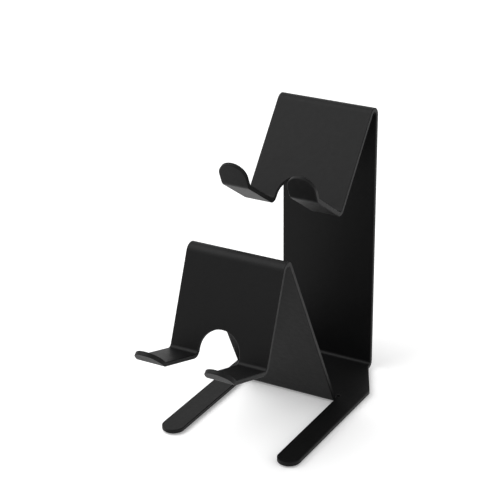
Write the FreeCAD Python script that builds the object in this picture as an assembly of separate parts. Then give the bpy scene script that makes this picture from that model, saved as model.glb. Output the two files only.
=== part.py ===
# A desk stand with two pronged rests, folded from one steel strip, on four thin rubber pads.
# Sizes are in millimetres. X runs across the stand, Y towards the back, Z up.
# While it is drawn, the underside of the sheet is at Z = 0 and the stand is mirrored about X = 0.
import math
import os

import FreeCAD
import Part
from FreeCAD import Vector

# The sheet and its folds. A fold radius is measured to the middle of the sheet.
sheet_thickness = 2.5
edge_bevel = 0.3
strip_width = 60.0
bend_radius = 3.25
top_fold_radius = 4.0
tab_bend_radius = 3.5

# The plate on the table, with a flare at the back and two feet at the front.
base_width = 87.6
foot_gap = 0.3
foot_tip_y = -95.2
flare_corner_y = 0.0
flare_corner_radius = 5.5
flare_past_bend = 0.5
riser_bend_y = -18.0
relief_radius = 1.2
relief_past_bend = 0.4

# The upright panel at the back and the upper rest, which leans forward from its top.
panel_middle_y = 31.15
top_fold_z = 173.4
upper_back_length = 72.4
upper_back_angle = 52.0
upper_arm_length = 34.0
upper_arm_angle = 34.0
upper_tab_length = 15.4
upper_tab_angle = 67.0

# The riser in the middle and the lower rest, which comes down from its top.
riser_length = 130.6
riser_angle = 62.9
lower_back_length = 64.1
lower_back_angle = 69.0
lower_arm_length = 34.3
lower_arm_angle = 17.0
lower_tab_length = 10.2
lower_tab_angle = 48.0

# The prongs of both rests. The round that ends a slot has its middle a little way up the leaning back.
prong_width = 17.4
slot_past_root = 4.5

# The rubber pads under the plate.
pad_radius = 4.0
pad_thickness = 1.0
rear_pad_x = 23.0
rear_pad_y = 19.0

# How far a cutting body reaches past the sheet, and past a bend from one straight run to the next.
cutter_margin = 1.5
bend_margin = 3.0

# A shorter line is left out of an outline, and two faces count as square up to this cosine.
shortest_line = 0.001
square_slack = 0.1

# Sizes that follow from the ones above.
strip_half = strip_width / 2
base_half = base_width / 2
foot_inner_x = strip_half + foot_gap
foot_width = base_half - foot_inner_x
foot_round_y = foot_tip_y + foot_width / 2
foot_middle_x = base_half - foot_width / 2
slot_half = strip_half - prong_width
prong_middle_x = strip_half - prong_width / 2
sheet_middle_z = sheet_thickness / 2
flare_back_y = panel_middle_y - bend_radius - flare_past_bend
riser_bend_reach = bend_radius * math.tan(math.radians(riser_angle) / 2)
notch_y = riser_bend_y + riser_bend_reach + relief_past_bend + relief_radius


def step(point, length, angle, forward):
    """The point a length away, at an angle above the level. A length below 0 goes the opposite way."""
    way = -1 if forward else 1
    turn = math.radians(angle)
    return Vector(0, point.y + way * length * math.cos(turn), point.z + length * math.sin(turn))


def rounded_wire(points, radii):
    """A closed outline through the points, with an arc of the given radius at each corner."""
    starts, ends, middles = [], [], []
    for i, corner in enumerate(points):
        before = points[i - 1] - corner
        after = points[(i + 1) % len(points)] - corner
        before.normalize()
        after.normalize()
        half_angle = before.getAngle(after) / 2
        reach = radii[i] / math.tan(half_angle)
        starts.append(corner + before * reach)
        ends.append(corner + after * reach)
        towards = before + after
        towards.normalize()
        middles.append(corner + towards * (radii[i] / math.sin(half_angle) - radii[i]))
    edges = []
    for i, radius in enumerate(radii):
        following = starts[(i + 1) % len(points)]
        if radius > 0:
            edges.append(Part.Arc(starts[i], middles[i], ends[i]).toShape())
        if (following - ends[i]).Length > shortest_line:
            edges.append(Part.LineSegment(ends[i], following).toShape())
    return Part.Wire(edges)


def folded_strip(corners, radii, thickness, half_width):
    """A strip folded along the corners of its middle line, seen from the side."""
    one_side, other_side = [], []
    for i, corner in enumerate(corners):
        ways = []
        if i > 0:
            ways.append(corner - corners[i - 1])
        if i < len(corners) - 1:
            ways.append(corners[i + 1] - corner)
        normals = []
        for way in ways:
            way.normalize()
            normals.append(Vector(0, -way.z, way.y))
        middle = normals[0] + normals[-1]
        middle.normalize()
        offset = middle * (thickness / 2 / middle.dot(normals[0]))
        turn = ways[0].y * ways[-1].z - ways[0].z * ways[-1].y
        inside = -1 if turn > 0 else 1
        bend = radii[i]
        one_side.append((corner + offset, bend + inside * thickness / 2 if bend else 0))
        other_side.append((corner - offset, bend - inside * thickness / 2 if bend else 0))
    outline = one_side + other_side[::-1]
    wire = rounded_wire([point for point, radius in outline], [radius for point, radius in outline])
    face = Part.Face(wire)
    face.translate(Vector(-half_width, 0, 0))
    return face.extrude(Vector(2 * half_width, 0, 0))


def prong_slot(tip, tab_bend, root, back_top):
    """The gap between two prongs. It runs past the root and ends in a round in the leaning back."""
    back_way = back_top - root
    back_way.normalize()
    depth = Vector(0, -back_way.z, back_way.y)
    round_middle = root + back_way * slot_past_root
    drill_start = round_middle - depth * (sheet_thickness / 2 + cutter_margin)
    gap = Part.makeCylinder(slot_half, sheet_thickness + 2 * cutter_margin, drill_start, depth)
    for near, far in ((tip, tab_bend), (tab_bend, root), (round_middle, root)):
        way = far - near
        way.normalize()
        run = [near, far + way * bend_margin]
        gap = gap.fuse(folded_strip(run, [0, 0], sheet_thickness + 2 * cutter_margin, slot_half))
    return gap


def tab_corners(tip, tab_bend):
    """What is cut off so that both tabs end in a full round."""
    tab_way = tip - tab_bend
    tab_way.normalize()
    depth = Vector(0, -tab_way.z, tab_way.y)
    round_middle = tip - tab_way * (prong_width / 2)
    run = [round_middle, tip + tab_way * cutter_margin]
    end = folded_strip(run, [0, 0], sheet_thickness + 2 * cutter_margin, strip_half + cutter_margin)
    keep_length = 2 * (sheet_thickness + cutter_margin)
    for x in (-prong_middle_x, prong_middle_x):
        start = round_middle + Vector(x, 0, 0) - depth * (keep_length / 2)
        end = end.cut(Part.makeCylinder(prong_width / 2, keep_length, start, depth))
    return end


def outline_edges(shape):
    """The edges where a broad side of the sheet meets a cut side at a right angle."""
    found = []
    for edge in shape.Edges:
        sides = shape.ancestorsOfType(edge, Part.Face)
        if len(sides) != 2:
            continue
        point = edge.valueAt((edge.FirstParameter + edge.LastParameter) / 2)
        normals = [side.normalAt(*side.Surface.parameter(point)) for side in sides]
        if abs(normals[0].dot(normals[1])) < square_slack:
            found.append(edge)
    return found


def mirrored_outline(half):
    """Corner points and radii on the right, followed by the same ones on the left in reverse."""
    left = [(-x, y, radius) for x, y, radius in reversed(half)]
    both = half + left
    return [Vector(x, y, 0) for x, y, radius in both], [radius for x, y, radius in both]


# The middle line of the folded strip, from the lower tab to the upper tab.
riser_foot = Vector(0, riser_bend_y, sheet_middle_z)
lower_top = step(riser_foot, riser_length, riser_angle, True)
lower_root = step(lower_top, -lower_back_length, lower_back_angle, False)
lower_bend = step(lower_root, lower_arm_length, lower_arm_angle, True)
lower_tip = step(lower_bend, lower_tab_length, lower_tab_angle, True)
panel_foot = Vector(0, panel_middle_y, sheet_middle_z)
upper_top = Vector(0, panel_middle_y, top_fold_z)
upper_root = step(upper_top, -upper_back_length, upper_back_angle, False)
upper_bend = step(upper_root, upper_arm_length, upper_arm_angle, True)
upper_tip = step(upper_bend, upper_tab_length, upper_tab_angle, True)

middle_line = [
    lower_tip, lower_bend, lower_root, lower_top, riser_foot,
    panel_foot, upper_top, upper_root, upper_bend, upper_tip,
]
fold_radii = [
    0, tab_bend_radius, tab_bend_radius, top_fold_radius, bend_radius,
    bend_radius, top_fold_radius, tab_bend_radius, tab_bend_radius, 0,
]
strip = folded_strip(middle_line, fold_radii, sheet_thickness, strip_half)

# The plate on the table.
half_plate = [
    (strip_half, flare_back_y, 0),
    (base_half, flare_corner_y, flare_corner_radius),
    (base_half, foot_tip_y, foot_width / 2),
    (foot_inner_x, foot_tip_y, foot_width / 2),
    (foot_inner_x, notch_y, 0),
]
plate_points, plate_radii = mirrored_outline(half_plate)
plate = Part.Face(rounded_wire(plate_points, plate_radii)).extrude(Vector(0, 0, sheet_thickness))
stand = strip.fuse(plate)

# Round reliefs at the ends of the gaps between the riser and the feet.
for x in (-foot_inner_x, foot_inner_x):
    start = Vector(x, notch_y, -cutter_margin)
    stand = stand.cut(Part.makeCylinder(relief_radius, sheet_thickness + 2 * cutter_margin, start))

# The gaps between the prongs and the round ends of the tabs.
for tip, bend, root, top in (
    (lower_tip, lower_bend, lower_root, lower_top),
    (upper_tip, upper_bend, upper_root, upper_top),
):
    stand = stand.cut(prong_slot(tip, bend, root, top))
    stand = stand.cut(tab_corners(tip, bend))
stand = stand.removeSplitter()

# The cut edges are lightly broken all round.
stand = stand.makeChamfer(edge_bevel, outline_edges(stand))
print("solids", len(stand.Solids), "valid", stand.isValid(), "volume", stand.Volume)

# The pads, two under the feet and two near the back of the plate.
parts = {"folded_stand": stand.Solids[0]}
for place, x, y in (("front", foot_middle_x, foot_round_y), ("rear", rear_pad_x, rear_pad_y)):
    for side, sign in (("left", -1), ("right", 1)):
        start = Vector(sign * x, y, -pad_thickness)
        pad = Part.makeCylinder(pad_radius, pad_thickness, start, Vector(0, 0, 1))
        parts["pad_" + place + "_" + side] = pad

# The origin goes to the middle of the footprint, on the table.
whole = Part.makeCompound(list(parts.values())).optimalBoundingBox(False)
origin_shift = Vector(-whole.Center.x, -whole.Center.y, -whole.ZMin)
print("shift", origin_shift, "size", whole.XLength, whole.YLength, whole.ZLength)

os.makedirs("parts", exist_ok=True)
for name, shape in parts.items():
    shape.translate(origin_shift)
    shape.exportStep("parts/" + name + ".step")
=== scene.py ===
# %% [markdown]
# # A folded steel stand
# The object is a desk stand, bent from one strip of sheet steel and powder coated matte black. Its shape
# is all in the solid model: a flat plate with two long feet, an upright panel, and two rests with prongs.
# What is left for this file is the finish of the steel, the soft rims of the rubber pads, and a plain
# studio round it.

# %% Load the solid model and note its size
import math

import bpy
import numpy as np
from mathutils import Matrix, Vector


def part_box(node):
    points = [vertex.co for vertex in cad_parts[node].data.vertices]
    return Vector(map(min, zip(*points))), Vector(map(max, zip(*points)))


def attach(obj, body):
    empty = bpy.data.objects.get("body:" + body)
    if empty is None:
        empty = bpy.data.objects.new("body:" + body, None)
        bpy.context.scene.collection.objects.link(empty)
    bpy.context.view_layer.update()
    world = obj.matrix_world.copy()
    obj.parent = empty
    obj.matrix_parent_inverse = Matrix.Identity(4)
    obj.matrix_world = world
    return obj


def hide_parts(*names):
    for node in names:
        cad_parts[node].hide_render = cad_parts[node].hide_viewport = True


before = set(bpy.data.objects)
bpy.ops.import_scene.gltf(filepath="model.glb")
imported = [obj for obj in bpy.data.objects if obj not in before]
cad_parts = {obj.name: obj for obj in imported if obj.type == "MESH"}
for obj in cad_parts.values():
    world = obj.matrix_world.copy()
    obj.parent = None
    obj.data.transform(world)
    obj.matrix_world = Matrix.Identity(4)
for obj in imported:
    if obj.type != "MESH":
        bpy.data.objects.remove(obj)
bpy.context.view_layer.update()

stand_low, stand_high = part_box("folded_stand")
stand_size = stand_high - stand_low
print("stand", [round(length, 4) for length in stand_size])

# %% [markdown]
# ## Writing shader maths as plain expressions
# A finish is a small network of nodes. Placing every node by hand hides the idea, so one class wraps a
# socket: adding or multiplying two wrapped sockets adds the Math node for it. Any other node comes from
# `Network.node`, which takes its type, its settings and what goes into its sockets.

# %% A wrapped socket
class Value:
    """One output socket. Arithmetic on it adds Math nodes to the same network."""

    def __init__(self, network, socket):
        self.network = network
        self.socket = socket

    def _math(self, operation, first, second):
        return self.network.node("ShaderNodeMath", {"operation": operation}, {0: first, 1: second})

    def __add__(self, other):
        return self._math("ADD", self, other)

    def __radd__(self, other):
        return self._math("ADD", other, self)

    def __sub__(self, other):
        return self._math("SUBTRACT", self, other)

    def __rsub__(self, other):
        return self._math("SUBTRACT", other, self)

    def __mul__(self, other):
        return self._math("MULTIPLY", self, other)

    def __rmul__(self, other):
        return self._math("MULTIPLY", other, self)


# %% Nodes made by calls
NOISE_MEAN = 0.5


class Network:
    """The nodes of one material, or of the world."""

    def __init__(self, tree):
        self.tree = tree

    def node(self, kind, settings=None, inputs=None, output=0):
        """A node of that kind. Settings come first, because they can change which sockets exist."""
        made = self.tree.nodes.new(kind)
        for name, value in (settings or {}).items():
            setattr(made, name, value)
        for name, value in (inputs or {}).items():
            self.feed(made.inputs[name], value)
        return Value(self, made.outputs[output])

    def feed(self, socket, value):
        """Links a wrapped socket, or writes a plain value."""
        if isinstance(value, Value):
            self.tree.links.new(value.socket, socket)
        else:
            socket.default_value = value

    def place(self):
        """The point on the piece, in metres."""
        return self.node("ShaderNodeTexCoord", output="Object")

    def noise(self, size, detail=2.0, roughness=0.5):
        """Soft random spots of that size in metres, from 0 to 1. More detail adds smaller spots."""
        inputs = {"Vector": self.place(), "Scale": 1 / size, "Detail": detail, "Roughness": roughness}
        return self.node("ShaderNodeTexNoise", inputs=inputs, output="Fac")

    def between(self, low, high, share):
        """The colour that lies that share of the way from low to high.

        A Mix node has sockets for every kind of data, so the ones for colour are told by their numbers.
        """
        factor, first, second, result = 0, 6, 7, 2
        inputs = {factor: share, first: low, second: high}
        return self.node("ShaderNodeMix", {"data_type": "RGBA"}, inputs, output=result)

    def bump(self, height, depth):
        """A normal from a height, where a height of 1 stands for that depth in metres."""
        inputs = {"Height": height, "Distance": depth, "Strength": 1.0}
        return self.node("ShaderNodeBump", inputs=inputs, output="Normal")

    def seen(self):
        """1 on a ray from the camera or one that a shine or glass sends on, and 0 on plain light."""
        names = ("Is Camera Ray", "Is Glossy Ray", "Is Transmission Ray")
        camera, glossy, through = [self.node("ShaderNodeLightPath", output=name) for name in names]
        return self.node("ShaderNodeClamp", inputs={"Value": camera + glossy + through})


class Finish(Network):
    """A material whose surface is one Principled shader."""

    def __init__(self, name):
        self.material = bpy.data.materials.new(name)
        self.material.use_nodes = True
        super().__init__(self.material.node_tree)
        self.tree.nodes.clear()
        self.surface = self.tree.nodes.new("ShaderNodeBsdfPrincipled")
        output = self.tree.nodes.new("ShaderNodeOutputMaterial")
        self.tree.links.new(self.surface.outputs["BSDF"], output.inputs["Surface"])

    def set(self, **sockets):
        """Feeds the surface. Underscores in a name stand for spaces."""
        for name, value in sockets.items():
            self.feed(self.surface.inputs[name.replace("_", " ")], value)


# %% [markdown]
# ## Powder coat
# The steel is sprayed with dry powder and baked. The melted powder leaves a skin with two textures: a
# fine grain, under half a millimetre, and a lazy ripple of a few millimetres that painters call orange
# peel. The grain breaks the shine into a soft glow and the ripple makes that glow uneven. The colour is
# nearly black, with faint clouds where the coat is thicker.
#
# A picture of painted steel could be wrapped round the sheet, but it would show seams at the folds and
# blur up close. Noise that reads the point on the piece has neither fault, and its sizes can be given in
# metres. So three noises make the coat: grain and ripple go into the bump, and ripple and cloud into
# roughness and colour.

# %% Powder coated steel
# Sizes and depths are in metres.
GRAIN_SIZE = 0.00045
GRAIN_DETAIL = 1.0
GRAIN_DEPTH = 0.00004
RIPPLE_SIZE = 0.0028
RIPPLE_SHARE = 1.6
CLOUD_SIZE = 0.02
CLOUD_DETAIL = 3.0
COAT_DARK = (0.0021, 0.0021, 0.0022, 1)
COAT_PALE = (0.0036, 0.0036, 0.0037, 1)
COAT_ROUGHNESS = 0.48
RIPPLE_ROUGHNESS = 0.10
CLOUD_ROUGHNESS = 0.06
COAT_SHINE = 0.135


def powder_coat():
    """Near black, softly shining, with grain and orange peel."""
    coat = Finish("powder_coat")
    grain = coat.noise(GRAIN_SIZE, GRAIN_DETAIL)
    ripple = coat.noise(RIPPLE_SIZE)
    cloud = coat.noise(CLOUD_SIZE, CLOUD_DETAIL)
    uneven = (ripple - NOISE_MEAN) * RIPPLE_ROUGHNESS + (cloud - NOISE_MEAN) * CLOUD_ROUGHNESS
    coat.set(
        Base_Color=coat.between(COAT_DARK, COAT_PALE, cloud),
        Roughness=COAT_ROUGHNESS + uneven,
        Specular_IOR_Level=COAT_SHINE,
        Normal=coat.bump(grain + ripple * RIPPLE_SHARE, GRAIN_DEPTH),
    )
    return coat.material


# %% [markdown]
# ## Rubber
# The pads are small stuck-on bumpers. Rubber scatters light almost evenly, so the roughness is high, and
# the skin has a dull bloom that is a touch paler in places. One flat colour would look like plastic. A
# soft noise between two greys gives the bloom, and the same noise makes the paler spots rougher, as they
# are on real rubber.

# %% Matt rubber
BLOOM_SIZE = 0.003
BLOOM_DETAIL = 4.0
BLOOM_BREAK_UP = 0.6
RUBBER_DARK = (0.012, 0.012, 0.012, 1)
RUBBER_PALE = (0.026, 0.026, 0.026, 1)
RUBBER_ROUGHNESS = 0.78
BLOOM_ROUGHNESS = 0.2


def rubber():
    """Matt black rubber with a faint bloom."""
    skin = Finish("pad_rubber")
    bloom = skin.noise(BLOOM_SIZE, BLOOM_DETAIL, BLOOM_BREAK_UP)
    grain = skin.noise(GRAIN_SIZE)
    skin.set(
        Base_Color=skin.between(RUBBER_DARK, RUBBER_PALE, bloom),
        Roughness=RUBBER_ROUGHNESS + (bloom - NOISE_MEAN) * BLOOM_ROUGHNESS,
        Normal=skin.bump(grain, GRAIN_DEPTH),
    )
    return skin.material


# %% [markdown]
# ## Dressing the sheet
# The folded sheet already has its true shape, with its bends and its broken edges, so its mesh stays as
# it is and only gets the coat. The coat follows the object's own coordinates, so it runs over the folds
# without a seam.

# %% Coat the folded sheet
steel_finish = powder_coat()
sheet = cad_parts["folded_stand"]
sheet.data.materials.clear()
sheet.data.materials.append(steel_finish)
print("sheet faces", len(sheet.data.polygons))

# %% [markdown]
# ## Pads with soft rims
# A bumper is punched from rubber and its lower rim is rounded where it meets the table. It could be a
# cylinder with a Bevel modifier, but then the rim's radius hides in the modifier. Here the pad is one
# profile seen from the side: down the wall and round the rim. Turning the profile about the pad's middle
# gives the surface, so one grid of angle against profile makes each pad, and a flat face closes it above
# and below.

# %% A surface turned from a profile
TURN_STEPS = 64
RIM_STEPS = 8
RIM_RADIUS = 0.00035
FULL_TURN = 2 * math.pi


def turned(name, profile, middle):
    """Each profile point (radius, height) goes once round the upright axis through the middle."""
    profile = np.asarray(profile)
    angle = np.arange(TURN_STEPS) * FULL_TURN / TURN_STEPS
    ring = np.stack([np.cos(angle), np.sin(angle)], axis=1)
    across = profile[:, None, 0, None] * ring[None] + np.array([middle.x, middle.y])
    height = np.broadcast_to(profile[:, 1, None, None], (len(profile), TURN_STEPS, 1))
    points = np.concatenate([across, height], axis=2).reshape(-1, 3)
    row, column = np.meshgrid(np.arange(len(profile) - 1), np.arange(TURN_STEPS), indexing="ij")
    here = row * TURN_STEPS + column
    beside = row * TURN_STEPS + (column + 1) % TURN_STEPS
    quads = np.stack([here, here + TURN_STEPS, beside + TURN_STEPS, beside], axis=-1).reshape(-1, 4)
    top = tuple(range(TURN_STEPS))
    bottom = tuple(range(len(points) - 1, len(points) - 1 - TURN_STEPS, -1))
    mesh = bpy.data.meshes.new(name)
    mesh.from_pydata(points.tolist(), [], quads.tolist() + [top, bottom])
    mesh.polygons.foreach_set("use_smooth", np.array([True] * len(quads) + [False] * 2))
    mesh.update()
    made = bpy.data.objects.new(name, mesh)
    bpy.context.scene.collection.objects.link(made)
    return made


def pad_profile(radius, low, high):
    """From the edge of the top, down the wall, and round the lower rim as a quarter circle."""
    turn = np.linspace(0, FULL_TURN / 4, RIM_STEPS)
    rim_out = radius - RIM_RADIUS + RIM_RADIUS * np.cos(turn)
    rim_down = low + RIM_RADIUS - RIM_RADIUS * np.sin(turn)
    rim = list(zip(rim_out, rim_down))
    return [(radius, high)] + rim


# %% Replace the plain pads
pad_finish = rubber()
pad_names = sorted(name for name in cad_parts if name.startswith("pad_"))
for pad_name in pad_names:
    low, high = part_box(pad_name)
    middle = (low + high) / 2
    pad = turned(pad_name + "_rubber", pad_profile((high.x - low.x) / 2, low.z, high.z), middle)
    pad.data.materials.append(pad_finish)
    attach(pad, "root")
    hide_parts(pad_name)
print("pads", pad_names)

# %% [markdown]
# ## Floor
# The stand is shown on white paper that catches its soft shadow. Lit paper alone comes out grey, and more
# light would wash out the stand. So the paper glows a little, but only for a ray that comes from the
# camera or from a shine. The light that the stand gets stays plain, and the shadow stays too. The glow
# grows with the distance from the stand, where the lamps no longer reach, so no horizon shows.

# %% Floor
# Lengths are in metres. The lift is the glow near the stand and far from it.
FLOOR_REACH = 6.0
FLOOR_CELLS = 12
FLOOR_WHITE = (0.90, 0.90, 0.90, 1)
FLOOR_ROUGHNESS = 0.9
FLOOR_SHINE = 0.1
NEAR_LIFT = (0.22, 0.22, 0.22, 1)
FAR_LIFT = (0.50, 0.50, 0.50, 1)
NO_LIGHT = (0, 0, 0, 1)
LIFT_START = 0.35
LIFT_END = 1.6


def floor_surface():
    """A level grid of squares that is centred under the stand."""
    line = np.linspace(-FLOOR_REACH, FLOOR_REACH, FLOOR_CELLS + 1)
    x, y = np.meshgrid(line, line, indexing="ij")
    points = np.stack([x, y, np.zeros_like(x)], axis=-1).reshape(-1, 3)
    row, column = np.meshgrid(np.arange(FLOOR_CELLS), np.arange(FLOOR_CELLS), indexing="ij")
    across = FLOOR_CELLS + 1
    corner = row * across + column
    quads = np.stack([corner, corner + across, corner + across + 1, corner + 1], axis=-1).reshape(-1, 4)
    mesh = bpy.data.meshes.new("floor")
    mesh.from_pydata(points.tolist(), [], quads.tolist())
    mesh.update()
    made = bpy.data.objects.new("floor", mesh)
    bpy.context.scene.collection.objects.link(made)
    return made


def white_paper():
    """Paper that takes a shadow and looks a little lifted, the more so the further it is from the lamps."""
    paper = Finish("floor_paper")
    length = {"operation": "LENGTH"}
    distance = paper.node("ShaderNodeVectorMath", length, {0: paper.place()}, output="Value")
    share = (distance - LIFT_START) * (1 / (LIFT_END - LIFT_START))
    lift = paper.between(NEAR_LIFT, FAR_LIFT, paper.node("ShaderNodeClamp", inputs={"Value": share}))
    paper.set(Base_Color=FLOOR_WHITE, Roughness=FLOOR_ROUGHNESS, Specular_IOR_Level=FLOOR_SHINE)
    paper.set(Emission_Color=paper.between(NO_LIGHT, lift, paper.seen()), Emission_Strength=1.0)
    return paper.material


floor = floor_surface()
floor.data.materials.append(white_paper())
print("floor reaches", FLOOR_REACH, "m each way")

# %% [markdown]
# ## World
# Above the floor there is nothing but air, which the camera sees as white. A world of that strength would
# also light the stand from all sides and flatten it. The same test of the ray keeps both: white to look
# at, and dimmer as light.

# %% World
WORLD_LIGHT = 0.68
WHITE = (1, 1, 1, 1)


def white_world():
    """White to whatever looks at it, and a plain dimmer light for everything else."""
    world = bpy.data.worlds.new("studio")
    bpy.context.scene.world = world
    world.use_nodes = True
    air = Network(world.node_tree)
    background = air.tree.nodes["Background"]
    air.feed(background.inputs["Color"], WHITE)
    air.feed(background.inputs["Strength"], WORLD_LIGHT + (1 - WORLD_LIGHT) * air.seen())


white_world()
print("world light", WORLD_LIGHT)

# %% [markdown]
# ## Lamps
# Black paint is seen mostly by what it reflects, and a small lamp would only leave a hard spot on it. So
# both lamps are soft panels: a wide one high on the left for the planes that face up, and a weaker one on
# the right for the cut edges. Each panel is turned to the middle of the stand, so its place alone sets
# where its light falls.

# %% Lamps
# Places and sizes are in metres, and powers in watts.
STAND_MIDDLE = Vector((0, 0, stand_high.z / 2))
KEY_PLACE = (-0.6, -0.35, 1.1)
KEY_SIZE = 1.2
KEY_POWER = 13.0
EDGE_PLACE = (1.1, -0.2, 0.45)
EDGE_SIZE = 0.5
EDGE_POWER = 2.0


def soft_panel(name, place, size, power):
    """A square lamp at that place, turned to the middle of the stand."""
    lamp = bpy.data.lights.new(name, "AREA")
    lamp.size = size
    lamp.energy = power
    made = bpy.data.objects.new(name, lamp)
    made.location = place
    made.rotation_euler = (STAND_MIDDLE - Vector(place)).to_track_quat("-Z", "Y").to_euler()
    bpy.context.scene.collection.objects.link(made)
    return made


soft_panel("key_panel", KEY_PLACE, KEY_SIZE, KEY_POWER)
soft_panel("edge_panel", EDGE_PLACE, EDGE_SIZE, EDGE_POWER)
print("lamps", KEY_POWER, "W and", EDGE_POWER, "W")

# %% [markdown]
# ## Camera
# The stand is seen through a long lens from the front right, some 24 degrees above the table, with a
# trace of roll. A camera could be turned by three angles, but those say little to a reader. Here it is
# given by where it stands and what it looks at, and the roll turns it about that line.

# %% Camera
# Places are in metres, and the lens and its sensor in millimetres.
LENS = 119.2
CAMERA_PLACE = Vector((0.4025, -0.7260, 0.4766))
CAMERA_AIM = Vector((-0.0084, 0.0047, 0.1024))
CAMERA_ROLL = math.radians(-0.47)
SENSOR_WIDTH = 36
NEAREST = 0.01


def camera_turn(place, aim, roll):
    """Columns are right, up and back, turned about the line of sight by the roll."""
    forward = (aim - place).normalized()
    right = forward.cross(Vector((0, 0, 1))).normalized()
    up = right.cross(forward)
    rolled_right = right * math.cos(roll) + up * math.sin(roll)
    rolled_up = up * math.cos(roll) - right * math.sin(roll)
    return Matrix((rolled_right, rolled_up, -forward)).transposed().to_4x4()


lens = bpy.data.cameras.new("photo_view")
lens.lens = LENS
lens.sensor_width = SENSOR_WIDTH
lens.clip_start = NEAREST
camera = bpy.data.objects.new("photo_view", lens)
camera.matrix_world = Matrix.Translation(CAMERA_PLACE) @ camera_turn(CAMERA_PLACE, CAMERA_AIM, CAMERA_ROLL)
bpy.context.scene.collection.objects.link(camera)
bpy.context.scene.camera = camera
bpy.context.scene.view_settings.view_transform = "Standard"
print("camera to stand", round((CAMERA_PLACE - CAMERA_AIM).length, 3), "m")
